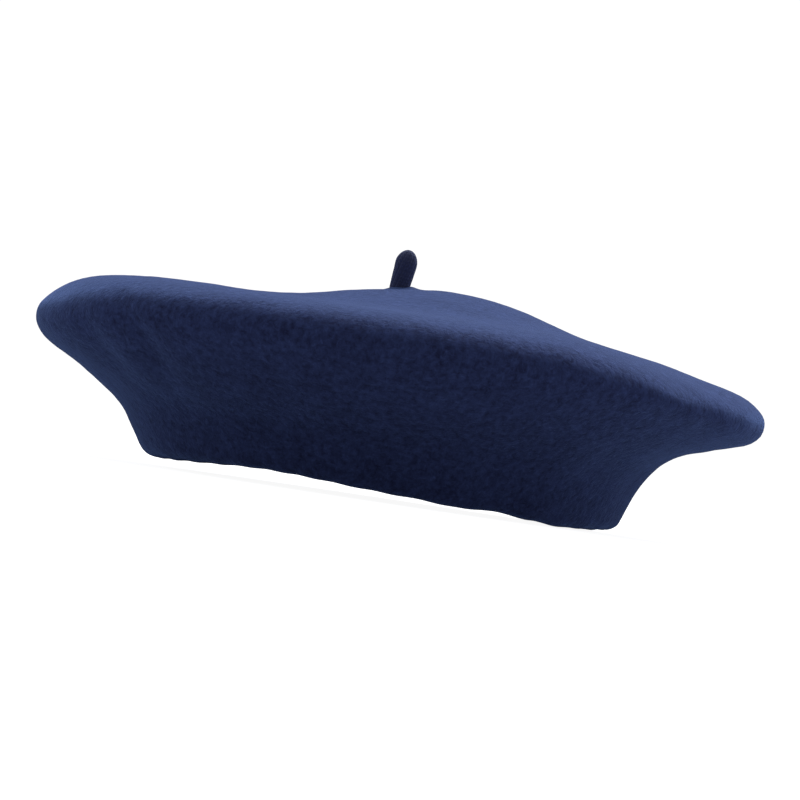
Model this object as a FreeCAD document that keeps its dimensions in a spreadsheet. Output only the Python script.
import FreeCAD, Part
import math
import os

import Sketcher

# A wool beret, in millimetres. +Z is up, +Y is the back of the head. The origin is the centre of the
# mouth, in the plane that the hem rests on. The felt is drawn as one revolved profile, then divided
# along a ball-shaped gap, so that the crown can tip over the collar as soft felt does.

DRIVING_SIZES = {
    # felt crown
    "felt_thickness": 2.0,
    "crown_radius": 140.0,        # to the outermost point of the rolled edge
    "edge_height": 50.5,          # middle of the rolled edge above the mouth
    "edge_roll": 10.5,            # outer radius of the rolled edge
    "crown_rise": 30.5,           # top of the dome above the middle of the edge
    "dome_curve": 187.0,
    "dome_reach": 38.0,           # where the dome turns into the saddle
    "saddle_curve": 300.0,
    "shoulder_curve": 125.0,
    "under_curve": 50.0,
    "collar_lean": 28.0,          # degrees from upright
    "mouth_radius": 88.8,         # where the collar's slope meets the mouth plane
    # turned-in hem
    "hem_fold": 1.8,              # rounding of the hem's two lower corners
    "hem_height": 12.0,
    "hem_tunnel": 1.2,            # room for the elastic between the hem and the collar
    # ball-shaped gap that lets the crown tip
    "tilt_height": 22.0,
    "tilt_gap": 0.4,
    "tilt_reach": 12.0,           # degrees that the ball runs above its middle
    # flat braided elastic
    "elastic_thickness": 0.8,
    "elastic_width": 6.0,
    "elastic_bottom": 2.6,
    # ribbon sweatband
    "band_thickness": 0.5,
    "band_width": 25.0,
    "band_bottom": 3.4,
    "band_ease": 0.25,            # radial room between the ribbon and the hem
    "join_gap": 0.5,              # where the ribbon's or the elastic's two ends meet
    # threads
    "thread_radius": 0.3,
    "stitch_bite": 1.1,           # how far a stitch runs into the felt
    "band_stitch_pitch": 6.0,
    "hem_tack_pitch": 16.5,
    "hem_tack_length": 3.0,
    "hem_tack_drop": 2.2,         # below the hem's upper edge
    "join_stitch_length": 4.0,
    # knitted stem
    "stem_radius": 3.9,
    "stem_height": 14.6,          # from the dome to the stem's tip
    "stem_offset": 4.7,           # from the middle of the crown towards -X
    "stem_lean": 7.0,             # degrees towards +X
    "neck_gap": 0.7,              # between the root and the ball of the lower bend
    "bend_spacing": 5.0,          # from the lower bend to the upper one
    "bend_gap": 0.3,
    "neck_rim": 2.4,              # the neck's rim below the upper bend
    "stem_hole_ease": 0.5,
    "root_radius": 3.4,
    "root_length": 12.0,
    "root_flange_radius": 8.5,
    "root_flange_thickness": 1.4,
    "root_gap": 0.2,              # between the root's flange and the felt
    "whipping_drop": 4.0,         # first turn below the flange
    "whipping_pitch": 0.65,
    "root_tack_radius": 7.0,
    # woven patch inside the crown
    "patch_width": 36.0,
    "patch_depth": 20.0,
    "patch_thickness": 0.5,
    "patch_reach": 42.0,          # from the middle of the crown towards the back
    "patch_drop": 1.3,            # below the felt at the patch's middle
    # size tab behind the sweatband
    "tab_width": 13.0,
    "tab_length": 10.0,
    "tab_thickness": 0.5,
    "tab_gap": 0.3,
    "tab_drop": 2.0,              # hinge line below the sweatband's upper edge
    "tab_turn": 24.0,             # degrees round from the back
}
WHIPPING_TURNS = 5
ROOT_TACKS = 8
BAND_JOIN_STITCHES = 5
ELASTIC_JOIN_STITCHES = 3
TAB_STITCHES = 3

document = FreeCAD.newDocument("beret")
sheet = document.addObject("Spreadsheet::Sheet", "Sizes")
for row, (size_name, number) in enumerate(DRIVING_SIZES.items(), start=1):
    sheet.set(f"A{row}", size_name)
    sheet.set(f"B{row}", str(number))
    sheet.setAlias(f"B{row}", size_name)
document.recompute()

COS_LEAN = "cos(Sizes.collar_lean * 1deg)"
TAN_LEAN = "tan(Sizes.collar_lean * 1deg)"


def size(name):
    return float(sheet.get(name))


def origin_plane(body, role):
    return next(f for f in body.Origin.OriginFeatures if f.Role == role)


def new_body(label):
    body = document.addObject("PartDesign::Body", label)
    body.Label = label
    return body


def new_sketch(body, name):
    """A sketch on the body's own XZ plane: its x is the radius and its y the height."""
    sketch = body.newObject("Sketcher::SketchObject", name)
    sketch.AttachmentSupport = [(origin_plane(body, "XZ_Plane"), "")]
    sketch.MapMode = "FlatFace"
    return sketch


def revolve(body, sketch, kind="Revolution"):
    """Turn a sketch once around the sketch's own upright axis, as material or as a groove."""
    feature = body.newObject(f"PartDesign::{kind}", f"{sketch.Name}_{kind}")
    feature.Profile = sketch
    feature.ReferenceAxis = (sketch, ["V_Axis"])
    feature.Angle = 360.0
    sketch.Visibility = False
    return feature


def value(formula):
    """A formula of the sheet as a plain number."""
    result = sheet.evalExpression(formula)
    return float(getattr(result, "Value", result))


def dimension(sketch, kind, places, name, formula):
    """One named dimension of a sketch, bound to a formula of the sheet."""
    now = math.radians(value(formula)) if kind == "Angle" else value(formula)
    index = sketch.addConstraint(Sketcher.Constraint(kind, *places, now))
    sketch.renameConstraint(index, name)
    sketch.setExpression(f"Constraints.{name}", formula)


def crown_outline(inset):
    """Centres, radii and meeting points of the crown's outline, moved into the felt by inset."""
    edge = FreeCAD.Vector(size("crown_radius") - size("edge_roll"), size("edge_height"), 0)
    top = size("edge_height") + size("crown_rise")
    dome_angle = math.asin(size("dome_reach") / size("dome_curve"))
    dome = FreeCAD.Vector(0, top - size("dome_curve"), 0)
    to_saddle = size("dome_curve") + size("saddle_curve")
    saddle = dome + FreeCAD.Vector(math.sin(dome_angle), math.cos(dome_angle), 0) * to_saddle
    shoulder = circle_meeting(
        edge, size("shoulder_curve") - size("edge_roll"), saddle, size("saddle_curve") + size("shoulder_curve")
    )
    lean = math.radians(size("collar_lean"))
    up_slope = FreeCAD.Vector(math.sin(lean), math.cos(lean), 0)
    out_slope = FreeCAD.Vector(math.cos(lean), -math.sin(lean), 0)
    foot = FreeCAD.Vector(size("mouth_radius"), 0, 0)
    # the under curve touches the collar's slope, and rolls round the edge
    start = foot + out_slope * size("under_curve") - edge
    along = start.dot(up_slope)
    reach = size("under_curve") + size("edge_roll")
    climb = -along - math.sqrt(along * along - start.dot(start) + reach * reach)
    under = edge + start + up_slope * climb
    radii = [
        size("dome_curve") - inset,
        size("saddle_curve") + inset,
        size("shoulder_curve") - inset,
        size("edge_roll") - inset,
        size("under_curve") + inset,
    ]
    shoulder_end = edge + (edge - shoulder).normalize() * radii[3]
    meetings = [
        FreeCAD.Vector(0, top - inset, 0),
        dome + (saddle - dome).normalize() * radii[0],
        shoulder + (saddle - shoulder).normalize() * radii[2],
        shoulder_end,
        edge + (under - edge).normalize() * radii[3],
        under - out_slope * radii[4],
    ]
    foot_inset = foot - FreeCAD.Vector(inset / math.cos(lean), 0, 0)
    return [dome, saddle, shoulder, edge, under], radii, meetings, foot_inset, up_slope


def circle_meeting(first, first_radius, second, second_radius):
    """Where two circles cross: the crossing nearer to the axis."""
    between = second - first
    gap = between.Length
    along = (gap * gap + first_radius**2 - second_radius**2) / (2 * gap)
    aside = math.sqrt(first_radius**2 - along**2)
    middle = first + between * (along / gap)
    across = FreeCAD.Vector(-between.y, between.x, 0) * (aside / gap)
    return min((middle + across, middle - across), key=lambda point: point.x)


def add_arc(sketch, centre, start, end):
    """Add the arc of less than half a turn, and give its index and its end codes, start's first."""
    angles = [math.atan2(point.y - centre.y, point.x - centre.x) for point in (start, end)]
    forward = (angles[1] - angles[0]) % (2 * math.pi) < math.pi
    first, last = angles if forward else reversed(angles)
    circle = Part.Circle(centre, FreeCAD.Vector(0, 0, 1), (start - centre).Length)
    index = sketch.addGeometry(Part.ArcOfCircle(circle, first, last), False)
    return index, (1, 2) if forward else (2, 1)


def draw_crown(sketch, inset, overrun):
    """The closed half section of the crown: five tangent arcs, collar, mouth line and axis.

    The inside's section is the outside's, moved in by inset, and overruns the mouth plane.
    """
    centres, radii, meetings, foot, up_slope = crown_outline(size(inset) if inset else 0.0)
    lean = size("collar_lean")
    foot = foot - up_slope * (overrun / up_slope.y)
    corner = FreeCAD.Vector(0, foot.y, 0)
    ends = []
    for number in range(5):
        ends.append(add_arc(sketch, centres[number], meetings[number], meetings[number + 1])[1])
    collar = sketch.addGeometry(Part.LineSegment(meetings[5], foot), False)
    mouth = sketch.addGeometry(Part.LineSegment(foot, corner), False)
    axis = sketch.addGeometry(Part.LineSegment(corner, meetings[0]), False)
    relations = [("Tangent", n, ends[n][1], n + 1, ends[n + 1][0]) for n in range(4)]
    relations += [
        ("Tangent", 4, ends[4][1], collar, 1),
        ("Coincident", collar, 2, mouth, 1),
        ("Coincident", mouth, 2, axis, 1),
        ("Coincident", axis, 2, 0, ends[0][0]),
        ("PointOnObject", 0, 3, -2),
        ("PointOnObject", mouth, 2, -2),
        ("PointOnObject", axis, 2, -2),
        ("Horizontal", mouth),
    ]
    for relation in relations:
        sketch.addConstraint(Sketcher.Constraint(*relation))
    wall = f"Sizes.{inset}" if inset else "0"
    curves = ["dome_curve", "saddle_curve", "shoulder_curve", "edge_roll", "under_curve"]
    for number, (curve, sign) in enumerate(zip(curves, "-+--+")):
        dimension(sketch, "Radius", (number,), curve, f"Sizes.{curve} {sign} {wall}")
    dimension(sketch, "DistanceY", (-1, 1, axis, 2), "top", f"Sizes.edge_height + Sizes.crown_rise - {wall}")
    dimension(sketch, "DistanceX", (-1, 1, 0, ends[0][1]), "dome_reach",
              f"Sizes.dome_reach * (Sizes.dome_curve - {wall}) / Sizes.dome_curve")
    dimension(sketch, "DistanceX", (-1, 1, 3, 3), "edge_out", "Sizes.crown_radius - Sizes.edge_roll")
    dimension(sketch, "DistanceY", (-1, 1, 3, 3), "edge_up", "Sizes.edge_height")
    dimension(sketch, "Angle", (-1, 1, collar, 2), "collar_slope", "(90 - Sizes.collar_lean) * 1deg")
    dimension(sketch, "DistanceX", (-1, 1, mouth, 1), "mouth",
              f"Sizes.mouth_radius - {wall} / {COS_LEAN} - {overrun} * {TAN_LEAN}")
    if overrun:
        dimension(sketch, "DistanceY", (mouth, 1, -1, 1), "overrun", str(overrun))
    else:
        sketch.addConstraint(Sketcher.Constraint("PointOnObject", mouth, 1, -1))


def draw_outline(sketch, corners):
    """A closed outline of straight lines; each corner is a pair of formulas, across and up."""
    points = [FreeCAD.Vector(value(across), value(up), 0) for across, up in corners]
    count = len(points)
    for number, point in enumerate(points):
        sketch.addGeometry(Part.LineSegment(point, points[(number + 1) % count]), False)
    for number in range(count):
        sketch.addConstraint(Sketcher.Constraint("Coincident", number, 2, (number + 1) % count, 1))
    for number, (across, up) in enumerate(corners):
        dimension(sketch, "DistanceX", (-1, 1, number, 1), f"across_{number}", across)
        if value(up):
            dimension(sketch, "DistanceY", (-1, 1, number, 1), f"up_{number}", up)
        else:
            sketch.addConstraint(Sketcher.Constraint("PointOnObject", number, 1, -1))


def collar_face(depth, height):
    """Formula of the radius at a height, on a cone sunk by a depth into the collar's outer face."""
    return f"Sizes.mouth_radius - ({depth}) / {COS_LEAN} + ({height}) * {TAN_LEAN}"


HEM_OUTER = "Sizes.felt_thickness + Sizes.hem_tunnel"
HEM_INNER = "2 * Sizes.felt_thickness + Sizes.hem_tunnel"
BAND_OUTER = f"({collar_face(HEM_INNER, 'Sizes.band_bottom')} - Sizes.band_ease)"
BAND_TOP = "(Sizes.band_bottom + Sizes.band_width)"
CROWN_TOP = "(Sizes.edge_height + Sizes.crown_rise)"
STEM_SEAT = f"({CROWN_TOP} - Sizes.dome_curve + sqrt(Sizes.dome_curve ^ 2 - Sizes.stem_offset ^ 2))"
ROOT_TOP = (f"({CROWN_TOP} - Sizes.dome_curve - Sizes.root_gap + sqrt((Sizes.dome_curve - Sizes.felt_thickness) ^ 2"
            " - (Sizes.stem_offset + Sizes.root_flange_radius) ^ 2))")
LOWER_BEND = f"({ROOT_TOP} + Sizes.neck_gap + Sizes.stem_radius)"


def build_felt():
    """The whole felt, seamless: the crown, its collar and the hem that is turned in under it."""
    felt = new_body("felt_blank")
    outside = new_sketch(felt, "CrownOutside")
    draw_crown(outside, "", 0.0)
    revolve(felt, outside)
    inside = new_sketch(felt, "CrownInside")
    draw_crown(inside, "felt_thickness", size("felt_thickness"))
    revolve(felt, inside, "Groove")
    hem = new_sketch(felt, "HemSection")
    mid_wall = "Sizes.felt_thickness / 2"
    draw_outline(hem, [
        (collar_face(HEM_INNER, "0"), "0"),
        (collar_face(mid_wall, "0"), "0"),
        (collar_face(mid_wall, "Sizes.felt_thickness"), "Sizes.felt_thickness"),
        (collar_face(HEM_OUTER, "Sizes.felt_thickness"), "Sizes.felt_thickness"),
        (collar_face(HEM_OUTER, "Sizes.hem_height"), "Sizes.hem_height"),
        (collar_face(HEM_INNER, "Sizes.hem_height"), "Sizes.hem_height"),
    ])
    revolution = revolve(felt, hem)
    document.recompute()
    corners = [
        f"Edge{number}"
        for number, edge in enumerate(revolution.Shape.Edges, start=1)
        if edge.BoundBox.ZMax < 1e-4 and hasattr(edge.Curve, "Radius")
    ]
    fold = felt.newObject("PartDesign::Fillet", "HemFold")
    fold.Base = (revolution, corners)
    fold.setExpression("Radius", "Sizes.hem_fold")
    return felt


def tilt_ball(name, extra):
    """The ball that divides the collar from the crown, through the middle of the collar's wall."""
    ball = document.addObject("Part::Sphere", name)
    ball.setExpression("Radius", f"{WALL_AT_TILT} + {extra}")
    ball.Angle1 = -90.0
    ball.setExpression("Angle2", "Sizes.tilt_reach * 1deg")
    ball.setExpression("Placement.Base.z", "Sizes.tilt_height")
    return ball


def wall_at_tilt():
    """Formula of the wall's middle radius at the tilt height, which lies on the under curve."""
    centres = crown_outline(0.0)[0]
    under = centres[4]
    rise = f"(Sizes.tilt_height - {under.y:.6f})"
    return f"({under.x:.6f} - sqrt((Sizes.under_curve + Sizes.felt_thickness / 2) ^ 2 - {rise} ^ 2))"


WALL_AT_TILT = wall_at_tilt()


def subtract(label, base, tool):
    cut = document.addObject("Part::Cut", label)
    cut.Base, cut.Tool = base, tool
    cut.Label = label
    return cut


def fuse(label, pieces):
    joined = document.addObject("Part::MultiFuse", label)
    joined.Shapes = pieces
    joined.Label = label
    return joined


def upright(kind, name, radius, height=None, bottom="0", across="0"):
    """A ball or an upright cylinder on a line parallel to the crown's axis."""
    shape = document.addObject(kind, name)
    shape.setExpression("Radius", radius)
    if height:
        shape.setExpression("Height", height)
    shape.setExpression("Placement.Base.x", across)
    shape.setExpression("Placement.Base.z", bottom)
    return shape


def build_ring(label, corners, ring_radius):
    """A strip closed into a ring; its two ends meet at the back across the join gap."""
    body = new_body(label)
    section = new_sketch(body, f"{label}_section")
    draw_outline(section, corners)
    turn = revolve(body, section)
    gap_angle = f"(Sizes.join_gap / ({ring_radius}) * 180 / pi * 1deg)"
    turn.setExpression("Angle", f"360deg - {gap_angle}")
    body.Placement.Rotation = FreeCAD.Rotation(FreeCAD.Vector(0, 0, 1), 90)
    body.setExpression("Placement.Rotation.Angle", f"90deg + {gap_angle} / 2")
    return body


def thread(start, end, pull=1.0):
    """A straight piece of sewing thread between two points; pull below 1 draws it thinner."""
    run = end - start
    return Part.makeCylinder(size("thread_radius") * pull, run.Length, start, run)


def around(radius, height, angle, depth=0.0, aside=0.0):
    """A point round the crown's axis, at degrees from the back, with room inwards and sideways."""
    out = FreeCAD.Vector(-math.sin(math.radians(angle)), math.cos(math.radians(angle)), 0)
    side = FreeCAD.Vector(out.y, -out.x, 0)
    return out * (radius - depth) + side * aside + FreeCAD.Vector(0, 0, height)


def thread_group(label, solids):
    """Separate threads that do one job, in one piece of the model."""
    group = document.addObject("Part::Feature", label)
    group.Shape = Part.makeCompound(solids)
    group.Label = label
    return group


def build_hem_tacks():
    """Blind tacks that hold the hem to the collar: a short bar on the hem and two legs into the felt."""
    lean = math.radians(size("collar_lean"))
    height = size("hem_height") - size("hem_tack_drop")
    radius = value(collar_face(HEM_INNER, str(height)))
    count = round(2 * math.pi * radius / size("hem_tack_pitch"))
    reach = 2 * size("felt_thickness") + size("hem_tunnel") - size("stitch_bite")
    half = size("hem_tack_length") / 2
    tacks = []
    for number in range(count):
        angle = 360.0 * (number + 0.5) / count
        bar = [around(radius, height, angle, 0.0, side * half) for side in (-1, 1)]
        sink = around(reach * math.cos(lean), -reach * math.sin(lean), angle)
        solid = thread(*bar)
        for side in (-1, 1):
            leg = around(radius, height, angle, 0.0, side * (half - 2 * size("thread_radius")))
            solid = solid.fuse(thread(leg, leg + sink, 0.8))
        tacks.append(solid)
    return thread_group("hem_tacks", tacks)


def build_band_edge_stitches():
    """Whip stitches from the ribbon's lower edge down into the fold of the hem."""
    outer = value(BAND_OUTER)
    count = round(2 * math.pi * outer / size("band_stitch_pitch"))
    rise = size("thread_radius") * 3
    start_height = size("band_bottom") + rise
    stitches = []
    for number in range(count):
        angle = 360.0 * (number + 0.5) / count
        start = around(outer, start_height, angle, size("thread_radius") / 2)
        end = around(outer + size("band_ease") + size("stitch_bite"), start_height - rise, angle)
        stitches.append(thread(start, end))
    return thread_group("band_edge_stitches", stitches)


def build_join_stitches(label, count, radius, bottom, width, lean=0.0):
    """Level threads across the gap where a ring's two ends meet, evenly spaced over its width."""
    half = size("join_stitch_length") / 2
    stitches = []
    for number in range(count):
        height = bottom + width * (number + 0.5) / count
        place = radius + (height - bottom) * math.tan(lean)
        stitches.append(thread(around(place, height, 0.0, 0.0, -half), around(place, height, 0.0, 0.0, half)))
    return thread_group(label, stitches)


def lean_stem(piece, rise):
    """Put a stem piece, built about its own bend, at a distance above the lower bend."""
    lean = "Sizes.stem_lean * 1deg"
    piece.setExpression("Placement.Base.x", f"-Sizes.stem_offset + {rise} * sin({lean})")
    piece.setExpression("Placement.Base.z", f"{LOWER_BEND} + {rise} * cos({lean})")
    piece.Placement.Rotation = FreeCAD.Rotation(FreeCAD.Vector(0, 1, 0), 1)
    piece.setExpression("Placement.Rotation.Angle", lean)
    return piece


def build_stem():
    """The knitted stem in three lengths that meet at ball bends: root, neck and tip."""
    radius = "Sizes.stem_radius"
    neck_ball = upright("Part::Sphere", "neck_ball", radius)
    neck_side = upright("Part::Cylinder", "neck_side", radius, "Sizes.bend_spacing - Sizes.neck_rim")
    cup = upright("Part::Sphere", "neck_cup", f"{radius} + Sizes.bend_gap", bottom="Sizes.bend_spacing")
    neck = subtract("stem_neck", fuse("neck_blank", [neck_ball, neck_side]), cup)
    lean_stem(neck, "0")
    straight = f"{STEM_SEAT} + Sizes.stem_height - {LOWER_BEND} - Sizes.bend_spacing - {radius}"
    tip_ball = upright("Part::Sphere", "tip_ball", radius)
    tip_side = upright("Part::Cylinder", "tip_side", radius, straight)
    tip_end = upright("Part::Sphere", "tip_end", radius, bottom=straight)
    tip = fuse("stem_tip", [tip_ball, tip_side, tip_end])
    lean_stem(tip, "Sizes.bend_spacing")
    across = "-Sizes.stem_offset"
    flange_bottom = f"{ROOT_TOP} - Sizes.root_flange_thickness"
    root_end = f"{ROOT_TOP} - Sizes.root_length + Sizes.root_radius"
    flange = upright("Part::Cylinder", "root_flange", "Sizes.root_flange_radius",
                     "Sizes.root_flange_thickness", flange_bottom, across)
    shank = upright("Part::Cylinder", "root_shank", "Sizes.root_radius",
                    "Sizes.root_length - Sizes.root_radius", root_end, across)
    ball = upright("Part::Sphere", "root_ball", "Sizes.root_radius", None, root_end, across)
    root = fuse("stem_root", [flange, shank, ball])
    return root, neck, tip


def build_root_threads():
    """The thread wound round the gathered root, and the tacks that hold its flange to the felt."""
    axis = FreeCAD.Vector(-size("stem_offset"), 0, 0)
    flange_bottom = value(ROOT_TOP) - size("root_flange_thickness")
    wound = size("root_radius") + size("thread_radius") * 1.1
    turns = []
    for number in range(WHIPPING_TURNS):
        height = flange_bottom - size("whipping_drop") + number * size("whipping_pitch")
        turns.append(Part.makeTorus(wound, size("thread_radius"), axis + FreeCAD.Vector(0, 0, height)))
    start = flange_bottom - size("thread_radius")
    end = value(ROOT_TOP) + size("root_gap") + size("stitch_bite")
    tacks = []
    for number in range(ROOT_TACKS):
        foot = axis + around(size("root_tack_radius"), start, 360.0 * number / ROOT_TACKS)
        tacks.append(thread(foot, foot + FreeCAD.Vector(0, 0, end - start)))
    return thread_group("root_whipping", turns), thread_group("root_tacks", tacks)


def build_patch():
    """A blank woven patch, sewn flat inside the crown behind the stem, with a stitch at each corner."""
    patch = document.addObject("Part::Box", "maker_patch")
    patch.setExpression("Length", "Sizes.patch_width")
    patch.setExpression("Width", "Sizes.patch_depth")
    patch.setExpression("Height", "Sizes.patch_thickness")
    slope = math.asin(size("dome_reach") / size("dome_curve"))
    drop = (size("patch_reach") - size("dome_reach")) * math.tan(slope)
    dome_edge = value(CROWN_TOP) - size("dome_curve") * (1 - math.cos(slope))
    felt_inside = dome_edge - drop - size("felt_thickness") / math.cos(slope)
    centre = FreeCAD.Vector(0, size("patch_reach"), felt_inside - size("patch_drop"))
    turn = FreeCAD.Rotation(FreeCAD.Vector(1, 0, 0), -math.degrees(slope))
    half = FreeCAD.Vector(size("patch_width") / 2, size("patch_depth") / 2, size("patch_thickness"))
    patch.Placement = FreeCAD.Placement(centre - turn.multVec(half), turn)
    margin = 4 * size("thread_radius")
    reach = size("patch_drop") + size("stitch_bite")
    stitches = []
    for side in (-1, 1):
        for end in (-1, 1):
            corner = FreeCAD.Vector(side * (half.x - margin), end * (half.y - margin), -half.z)
            start = centre + turn.multVec(corner)
            stitches.append(thread(start, start + turn.multVec(FreeCAD.Vector(0, 0, half.z + reach))))
    return patch, thread_group("patch_stitches", stitches)


def build_size_tab():
    """A blank size tab that hangs behind the sweatband from three threads at the ribbon's top."""
    tab = document.addObject("Part::Box", "size_tab")
    tab.setExpression("Length", "Sizes.tab_width")
    tab.setExpression("Width", "Sizes.tab_thickness")
    tab.setExpression("Height", "Sizes.tab_length")
    turn = FreeCAD.Rotation(FreeCAD.Vector(0, 0, 1), size("tab_turn"))
    hinge_height = value(BAND_TOP) - size("tab_drop")
    inner = value(BAND_OUTER) + size("tab_gap")
    corner = FreeCAD.Vector(-size("tab_width") / 2, inner, hinge_height - size("tab_length"))
    tab.Placement = FreeCAD.Placement(turn.multVec(corner), turn)
    height = hinge_height + size("tab_gap") + size("thread_radius")
    stitches = []
    for number in range(TAB_STITCHES):
        aside = size("tab_width") * ((number + 0.5) / TAB_STITCHES - 0.5)
        start = around(inner, height, size("tab_turn"), size("tab_gap") + size("thread_radius") / 2, aside)
        end = around(inner + size("tab_thickness") / 2, height, size("tab_turn"), 0.0, aside)
        stitches.append(thread(start, end))
    return tab, thread_group("tab_stitches", stitches)


def build_all():
    """Every piece of the beret, in the order in which it is made."""
    felt = build_felt()
    collar = document.addObject("Part::Common", "crown_collar")
    collar.Base, collar.Tool = felt, tilt_ball("collar_ball", "0")
    collar.Label = "crown_collar"
    open_crown = subtract("open_crown", felt, tilt_ball("crown_ball", "Sizes.tilt_gap"))
    hole = upright("Part::Cylinder", "stem_hole", "Sizes.stem_radius + Sizes.stem_hole_ease",
                   "4 * Sizes.felt_thickness", f"{CROWN_TOP} - 2 * Sizes.felt_thickness - Sizes.root_gap",
                   "-Sizes.stem_offset")
    shell = subtract("crown_shell", open_crown, hole)
    middle = f"{HEM_OUTER} - Sizes.hem_tunnel / 2"
    elastic_top = f"(Sizes.elastic_bottom + Sizes.elastic_width * {COS_LEAN})"
    elastic_faces = [f"{middle} + Sizes.elastic_thickness / 2", f"{middle} - Sizes.elastic_thickness / 2"]
    elastic = build_ring("hem_elastic", [
        (collar_face(elastic_faces[0], "Sizes.elastic_bottom"), "Sizes.elastic_bottom"),
        (collar_face(elastic_faces[1], "Sizes.elastic_bottom"), "Sizes.elastic_bottom"),
        (collar_face(elastic_faces[1], elastic_top), elastic_top),
        (collar_face(elastic_faces[0], elastic_top), elastic_top),
    ], collar_face(middle, "Sizes.elastic_bottom"))
    band_inner = f"{BAND_OUTER} - Sizes.band_thickness"
    band = build_ring("sweatband", [
        (band_inner, "Sizes.band_bottom"),
        (BAND_OUTER, "Sizes.band_bottom"),
        (BAND_OUTER, BAND_TOP),
        (band_inner, BAND_TOP),
    ], BAND_OUTER)
    elastic_radius = value(collar_face(middle, "Sizes.elastic_bottom"))
    pieces = [
        shell,
        collar,
        elastic,
        build_join_stitches("elastic_join_stitches", ELASTIC_JOIN_STITCHES, elastic_radius,
                            size("elastic_bottom"), value(elastic_top) - size("elastic_bottom"),
                            math.radians(size("collar_lean"))),
        build_hem_tacks(),
        band,
        build_join_stitches("band_join_stitches", BAND_JOIN_STITCHES,
                            value(BAND_OUTER) + size("thread_radius") / 2,
                            size("band_bottom") + size("hem_tack_length"),
                            size("band_width") - size("hem_tack_length")),
        build_band_edge_stitches(),
        *build_stem(),
        *build_root_threads(),
        *build_patch(),
        *build_size_tab(),
    ]
    return pieces


def export(pieces):
    """Stop on any failed object or bad shape, then write one file for each piece."""
    document.recompute()
    failed = [o.Name for o in document.Objects if {"Invalid", "Error"} & set(o.State)]
    if failed:
        raise RuntimeError(f"objects that failed: {failed}")
    for piece in pieces:
        if piece.Shape.isNull() or not piece.Shape.isValid():
            raise RuntimeError(f"{piece.Label} has no valid shape")
    os.makedirs("parts", exist_ok=True)
    for piece in pieces:
        piece.Shape.exportStep(f"parts/{piece.Label}.step")


export(build_all())
